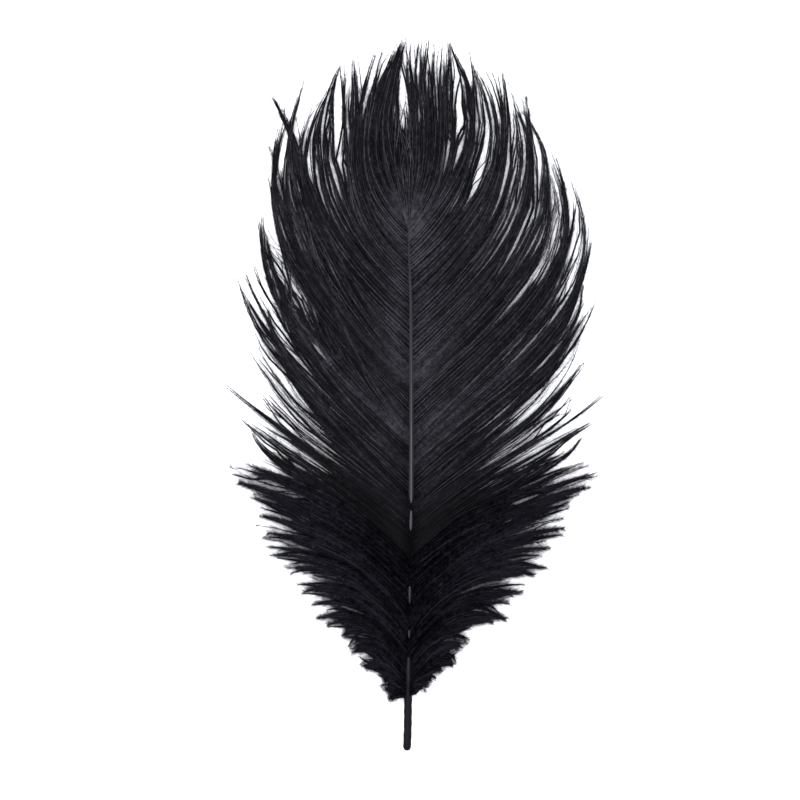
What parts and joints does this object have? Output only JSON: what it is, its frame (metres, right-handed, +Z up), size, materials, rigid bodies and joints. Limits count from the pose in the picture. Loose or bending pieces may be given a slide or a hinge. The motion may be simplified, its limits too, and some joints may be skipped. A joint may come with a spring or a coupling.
{
  "type": "ostrich feather",
  "caption": "Black dyed ostrich plume lying flat: a bare cut quill and tapering shaft with broad drooping vanes that part into curved locks, and a fluffy skirt of down.",
  "frame": {"origin": "middle of the feather's length and width, on the surface that it lies on", "axes": "+Y from the quill's cut end to the plume's tip, +X to the right seen from its front side, +Z up from the surface"},
  "size_m": [0.1494, 0.2836, 0.0088],
  "materials": {
    "horn": "satin",
    "barbs": "satin",
    "down": "matte"
  },
  "bodies": {
    "root": {"shaft": "horn", "left_vane": "barbs", "right_vane": "barbs", "left_down": "down", "right_down": "down"}
  },
  "joints": []
}
